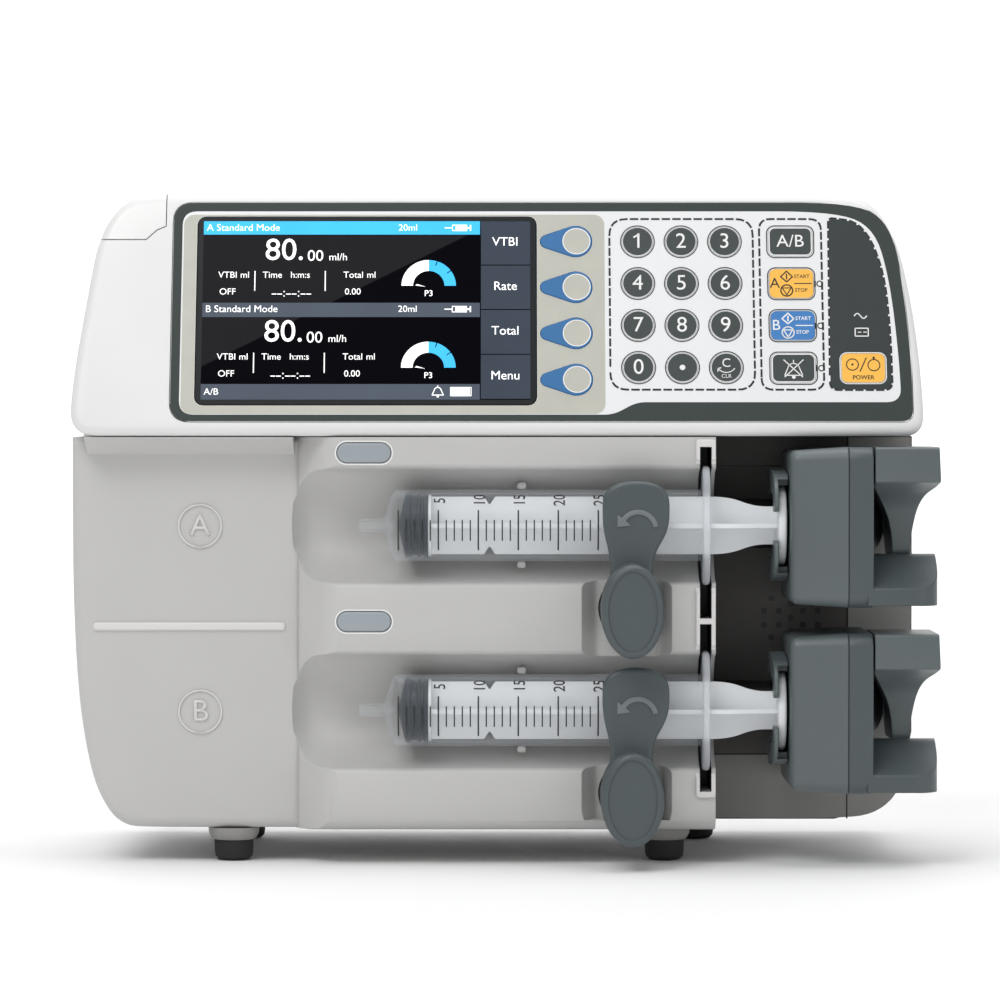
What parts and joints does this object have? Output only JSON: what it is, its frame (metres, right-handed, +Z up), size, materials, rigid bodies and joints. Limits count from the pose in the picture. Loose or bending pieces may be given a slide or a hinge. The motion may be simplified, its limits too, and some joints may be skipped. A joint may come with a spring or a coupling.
{
  "type": "dual-channel syringe pump",
  "caption": "Bench infusion pump that drives syringes held in front beds, with a leaning screen and keypad, swing-out barrel clamps and sliding plunger carriages.",
  "frame": {"origin": "centre of the footprint, on the plane that the feet stand on", "axes": "+X to the right of someone facing the screen, +Y away from them, +Z up"},
  "size_m": [0.2924, 0.15, 0.2268],
  "materials": {
    "white_shell": "fine matte ABS",
    "pale_shell": "fine matte ABS",
    "dark_cover": "fine grained",
    "film": "matte polyester film",
    "charcoal": "satin",
    "slate": "satin",
    "screen": "glossy",
    "black_tube": "satin",
    "foot_rubber": "matte",
    "blue": "satin",
    "orange": "satin",
    "lens": "translucent",
    "barrel_plastic": "clear polypropylene",
    "stopper_rubber": "smooth",
    "steel": "machined",
    "board": "solder mask"
  },
  "bodies": {
    "case": {"upper_front_case": "white_shell", "lower_front_case": "pale_shell", "rear_case": "white_shell", "drive_bay_cover": "dark_cover", "keypad_overlay": "film", "display_module": "screen", "alarm_lamp_lens": "lens", "channel_lamp_a": "lens", "channel_lamp_b": "lens", "foot_front_left": "foot_rubber", "foot_front_right": "foot_rubber", "foot_rear_left": "foot_rubber", "foot_rear_right": "foot_rubber", "syringe_barrel_a": "barrel_plastic", "syringe_barrel_b": "barrel_plastic", "main_board": "board", "battery_pack": "slate", "drive_motor_a": "steel", "drive_motor_b": "steel"},
    "carriage_a": {"drive_tube_a": "black_tube", "carriage_shell_a": "slate", "carriage_grip_a": "slate", "plunger_a": "barrel_plastic"},
    "lever_a": {"release_lever_a": "slate"},
    "claw_upper_a": {"claw_upper_a": "charcoal"},
    "claw_lower_a": {"claw_lower_a": "charcoal"},
    "shaft_a": {"clamp_shaft_a": "charcoal"},
    "arm_a": {"clamp_arm_a": "slate"},
    "screw_a": {"lead_screw_a": "steel"},
    "carriage_b": {"drive_tube_b": "black_tube", "carriage_shell_b": "slate", "carriage_grip_b": "slate", "plunger_b": "barrel_plastic"},
    "lever_b": {"release_lever_b": "slate"},
    "claw_upper_b": {"claw_upper_b": "charcoal"},
    "claw_lower_b": {"claw_lower_b": "charcoal"},
    "shaft_b": {"clamp_shaft_b": "charcoal"},
    "arm_b": {"clamp_arm_b": "slate"},
    "screw_b": {"lead_screw_b": "steel"},
    "key_soft_1_body": {"key_soft_1": "blue"},
    "key_soft_2_body": {"key_soft_2": "blue"},
    "key_soft_3_body": {"key_soft_3": "blue"},
    "key_soft_4_body": {"key_soft_4": "blue"},
    "key_1_body": {"key_1": "charcoal"},
    "key_2_body": {"key_2": "charcoal"},
    "key_3_body": {"key_3": "charcoal"},
    "key_4_body": {"key_4": "charcoal"},
    "key_5_body": {"key_5": "charcoal"},
    "key_6_body": {"key_6": "charcoal"},
    "key_7_body": {"key_7": "charcoal"},
    "key_8_body": {"key_8": "charcoal"},
    "key_9_body": {"key_9": "charcoal"},
    "key_0_body": {"key_0": "charcoal"},
    "key_point_body": {"key_point": "charcoal"},
    "key_clear_body": {"key_clear": "charcoal"},
    "key_channel_body": {"key_channel": "charcoal"},
    "key_start_a_body": {"key_start_a": "orange"},
    "key_start_b_body": {"key_start_b": "blue"},
    "key_mute_body": {"key_mute": "charcoal"},
    "key_power_body": {"key_power": "orange"}
  },
  "joints": [
    {"name": "carriage_slide_a", "type": "slide", "parent": "case", "child": "carriage_a", "axis": [1, 0, 0], "range_m": [0, 0.078]},
    {"name": "lever_pivot_a", "type": "hinge", "parent": "carriage_a", "child": "lever_a", "pos_m": [0.134, -0.015, 0.114], "axis": [1, 0, 0], "range_deg": [0, 15], "stiffness_Nm_per_rad": 0.4, "springref_deg": -17.19},
    {"name": "claw_upper_pivot_a", "type": "hinge", "parent": "carriage_a", "child": "claw_upper_a", "pos_m": [0.0925, -0.023, 0.128], "axis": [-1, 0, 0], "range_deg": [0, 20]},
    {"name": "claw_lower_pivot_a", "type": "hinge", "parent": "carriage_a", "child": "claw_lower_a", "pos_m": [0.0925, -0.023, 0.1], "axis": [1, 0, 0], "range_deg": [0, 20]},
    {"name": "clamp_slide_a", "type": "slide", "parent": "case", "child": "shaft_a", "axis": [0, -1, 0], "range_m": [0, 0.014], "stiffness_N_per_m": 250, "springref_m": -0.012},
    {"name": "clamp_swing_a", "type": "hinge", "parent": "shaft_a", "child": "arm_a", "pos_m": [0.0424, -0.057, 0.0862], "axis": [0, -1, 0], "range_deg": [0, 90]},
    {"name": "screw_spin_a", "type": "hinge", "parent": "case", "child": "screw_a", "pos_m": [0, 0.006, 0.114], "axis": [1, 0, 0], "continuous": true},
    {"name": "carriage_slide_b", "type": "slide", "parent": "case", "child": "carriage_b", "axis": [1, 0, 0], "range_m": [0, 0.078]},
    {"name": "lever_pivot_b", "type": "hinge", "parent": "carriage_b", "child": "lever_b", "pos_m": [0.134, -0.015, 0.0517], "axis": [1, 0, 0], "range_deg": [0, 15], "stiffness_Nm_per_rad": 0.4, "springref_deg": -17.19},
    {"name": "claw_upper_pivot_b", "type": "hinge", "parent": "carriage_b", "child": "claw_upper_b", "pos_m": [0.0925, -0.023, 0.0657], "axis": [-1, 0, 0], "range_deg": [0, 20]},
    {"name": "claw_lower_pivot_b", "type": "hinge", "parent": "carriage_b", "child": "claw_lower_b", "pos_m": [0.0925, -0.023, 0.0377], "axis": [1, 0, 0], "range_deg": [0, 20]},
    {"name": "clamp_slide_b", "type": "slide", "parent": "case", "child": "shaft_b", "axis": [0, -1, 0], "range_m": [0, 0.014], "stiffness_N_per_m": 250, "springref_m": -0.012},
    {"name": "clamp_swing_b", "type": "hinge", "parent": "shaft_b", "child": "arm_b", "pos_m": [0.0424, -0.057, 0.0239], "axis": [0, -1, 0], "range_deg": [0, 90]},
    {"name": "screw_spin_b", "type": "hinge", "parent": "case", "child": "screw_b", "pos_m": [0, 0.006, 0.0517], "axis": [1, 0, 0], "continuous": true},
    {"name": "key_soft_1_press", "type": "slide", "parent": "case", "child": "key_soft_1_body", "axis": [0, 0.9511, -0.309], "range_m": [0, 0.0005], "stiffness_N_per_m": 2500},
    {"name": "key_soft_2_press", "type": "slide", "parent": "case", "child": "key_soft_2_body", "axis": [0, 0.9511, -0.309], "range_m": [0, 0.0005], "stiffness_N_per_m": 2500},
    {"name": "key_soft_3_press", "type": "slide", "parent": "case", "child": "key_soft_3_body", "axis": [0, 0.9511, -0.309], "range_m": [0, 0.0005], "stiffness_N_per_m": 2500},
    {"name": "key_soft_4_press", "type": "slide", "parent": "case", "child": "key_soft_4_body", "axis": [0, 0.9511, -0.309], "range_m": [0, 0.0005], "stiffness_N_per_m": 2500},
    {"name": "key_1_press", "type": "slide", "parent": "case", "child": "key_1_body", "axis": [0, 0.9511, -0.309], "range_m": [0, 0.0005], "stiffness_N_per_m": 2500},
    {"name": "key_2_press", "type": "slide", "parent": "case", "child": "key_2_body", "axis": [0, 0.9511, -0.309], "range_m": [0, 0.0005], "stiffness_N_per_m": 2500},
    {"name": "key_3_press", "type": "slide", "parent": "case", "child": "key_3_body", "axis": [0, 0.9511, -0.309], "range_m": [0, 0.0005], "stiffness_N_per_m": 2500},
    {"name": "key_4_press", "type": "slide", "parent": "case", "child": "key_4_body", "axis": [0, 0.9511, -0.309], "range_m": [0, 0.0005], "stiffness_N_per_m": 2500},
    {"name": "key_5_press", "type": "slide", "parent": "case", "child": "key_5_body", "axis": [0, 0.9511, -0.309], "range_m": [0, 0.0005], "stiffness_N_per_m": 2500},
    {"name": "key_6_press", "type": "slide", "parent": "case", "child": "key_6_body", "axis": [0, 0.9511, -0.309], "range_m": [0, 0.0005], "stiffness_N_per_m": 2500},
    {"name": "key_7_press", "type": "slide", "parent": "case", "child": "key_7_body", "axis": [0, 0.9511, -0.309], "range_m": [0, 0.0005], "stiffness_N_per_m": 2500},
    {"name": "key_8_press", "type": "slide", "parent": "case", "child": "key_8_body", "axis": [0, 0.9511, -0.309], "range_m": [0, 0.0005], "stiffness_N_per_m": 2500},
    {"name": "key_9_press", "type": "slide", "parent": "case", "child": "key_9_body", "axis": [0, 0.9511, -0.309], "range_m": [0, 0.0005], "stiffness_N_per_m": 2500},
    {"name": "key_0_press", "type": "slide", "parent": "case", "child": "key_0_body", "axis": [0, 0.9511, -0.309], "range_m": [0, 0.0005], "stiffness_N_per_m": 2500},
    {"name": "key_point_press", "type": "slide", "parent": "case", "child": "key_point_body", "axis": [0, 0.9511, -0.309], "range_m": [0, 0.0005], "stiffness_N_per_m": 2500},
    {"name": "key_clear_press", "type": "slide", "parent": "case", "child": "key_clear_body", "axis": [0, 0.9511, -0.309], "range_m": [0, 0.0005], "stiffness_N_per_m": 2500},
    {"name": "key_channel_press", "type": "slide", "parent": "case", "child": "key_channel_body", "axis": [0, 0.9511, -0.309], "range_m": [0, 0.0005], "stiffness_N_per_m": 2500},
    {"name": "key_start_a_press", "type": "slide", "parent": "case", "child": "key_start_a_body", "axis": [0, 0.9511, -0.309], "range_m": [0, 0.0005], "stiffness_N_per_m": 2500},
    {"name": "key_start_b_press", "type": "slide", "parent": "case", "child": "key_start_b_body", "axis": [0, 0.9511, -0.309], "range_m": [0, 0.0005], "stiffness_N_per_m": 2500},
    {"name": "key_mute_press", "type": "slide", "parent": "case", "child": "key_mute_body", "axis": [0, 0.9511, -0.309], "range_m": [0, 0.0005], "stiffness_N_per_m": 2500},
    {"name": "key_power_press", "type": "slide", "parent": "case", "child": "key_power_body", "axis": [0, 0.9511, -0.309], "range_m": [0, 0.0005], "stiffness_N_per_m": 2500}
  ],
  "couplings": [
    {"joint": "claw_upper_pivot_a", "follows": "lever_pivot_a", "ratio": 1.3333},
    {"joint": "claw_lower_pivot_a", "follows": "lever_pivot_a", "ratio": 1.3333},
    {"joint": "claw_upper_pivot_b", "follows": "lever_pivot_b", "ratio": 1.3333},
    {"joint": "claw_lower_pivot_b", "follows": "lever_pivot_b", "ratio": 1.3333}
  ]
}
